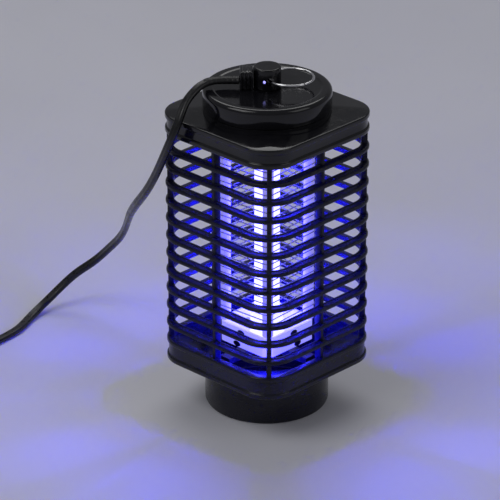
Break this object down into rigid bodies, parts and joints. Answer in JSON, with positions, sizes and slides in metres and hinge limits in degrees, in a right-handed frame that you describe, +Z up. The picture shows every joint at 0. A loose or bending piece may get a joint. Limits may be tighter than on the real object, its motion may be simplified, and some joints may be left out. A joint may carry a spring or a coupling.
{
  "type": "electric insect killer lamp",
  "caption": "Lantern-shaped electric insect killer: louvred square cage round a lit lamp and wire grid, hanging ring on top, twist-off catch tray below, flat mains lead.",
  "frame": {"origin": "centre of the catch tray's underside, on the surface the lamp stands on", "axes": "+Z up along the lamp tube; the flat sides of the cage face along X and Y; the hanging ring lies towards +X+Y and the mains lead leaves towards -X-Y"},
  "size_m": [0.2919, 0.1594, 0.1978],
  "materials": {
    "cage_plastic": "glossy black moulded plastic",
    "roof_plastic": "glossy black moulded plastic",
    "post_plastic": "glossy black moulded plastic",
    "base_plastic": "glossy black moulded plastic",
    "plate_plastic": "black moulded plastic",
    "post_white": "translucent white insulating plastic, lit by the lamp",
    "frame_plastic": "white insulating plastic, lit by the lamp",
    "grid_wire": "bare drawn steel wire",
    "lamp_glow": "white phosphor tube, switched on",
    "socket_white": "white plastic holder",
    "ring_chrome": "bright plated wire",
    "nut_steel": "plated steel",
    "screw_steel": "plated steel",
    "board_green": "green solder mask",
    "capacitor": "dipped film capacitor",
    "choke_black": "heat-shrink sleeve",
    "cord_jacket": "flat twin vinyl jacket, satin black",
    "relief_rubber": "soft black sleeve",
    "tie_black": "black strap",
    "plug_plastic": "satin black moulded plug",
    "pin_steel": "nickel-plated pins"
  },
  "bodies": {
    "housing": {"base_housing": "base_plastic", "board_screw_1": "screw_steel", "board_screw_2": "screw_steel", "bridge_screw_1": "screw_steel", "bridge_screw_2": "screw_steel", "capacitor_1": "capacitor", "capacitor_2": "capacitor", "capacitor_3": "capacitor", "ceiling_plate": "plate_plastic", "choke": "choke_black", "circuit_board": "board_green", "coil_tie": "tie_black", "cord_coil": "cord_jacket", "cord_gland": "post_plastic", "cord_relief": "relief_rubber", "cord_tail": "cord_jacket", "corner_rib_1": "cage_plastic", "corner_rib_2": "cage_plastic", "corner_rib_3": "cage_plastic", "corner_rib_4": "cage_plastic", "frame_screw_1": "screw_steel", "frame_screw_2": "screw_steel", "grid_post_1": "post_white", "grid_post_2": "post_white", "grid_post_3": "post_white", "grid_post_4": "post_white", "grid_wire_live": "grid_wire", "grid_wire_return": "grid_wire", "hanger_post": "post_plastic", "lamp_base": "lamp_glow", "lamp_socket": "socket_white", "lamp_tube": "lamp_glow", "louvre_01": "cage_plastic", "louvre_02": "cage_plastic", "louvre_03": "cage_plastic", "louvre_04": "cage_plastic", "louvre_05": "cage_plastic", "louvre_06": "cage_plastic", "louvre_07": "cage_plastic", "louvre_08": "cage_plastic", "louvre_09": "cage_plastic", "louvre_10": "cage_plastic", "louvre_11": "cage_plastic", "lower_frame": "frame_plastic", "mid_rib_1": "cage_plastic", "mid_rib_2": "cage_plastic", "mid_rib_3": "cage_plastic", "mid_rib_4": "cage_plastic", "plug_body": "plug_plastic", "plug_pin_1": "pin_steel", "plug_pin_2": "pin_steel", "power_cord": "cord_jacket", "round_cap": "roof_plastic", "stem_nut": "nut_steel", "support_bridge": "plate_plastic", "top_cover": "roof_plastic", "upper_frame": "frame_plastic"},
    "ring": {"hanging_ring": "ring_chrome"},
    "tray": {"catch_tray": "base_plastic"}
  },
  "joints": [
    {"name": "ring_swing", "type": "hinge", "parent": "housing", "child": "ring", "pos_m": [0.0011, 0.0011, 0.191], "axis": [0.7071, -0.7071, 0], "range_deg": [0, 165]},
    {"name": "tray_twist", "type": "hinge", "parent": "housing", "child": "tray", "pos_m": [0, 0, 0.0137], "axis": [0, 0, 1], "range_deg": [0, 22]}
  ]
}
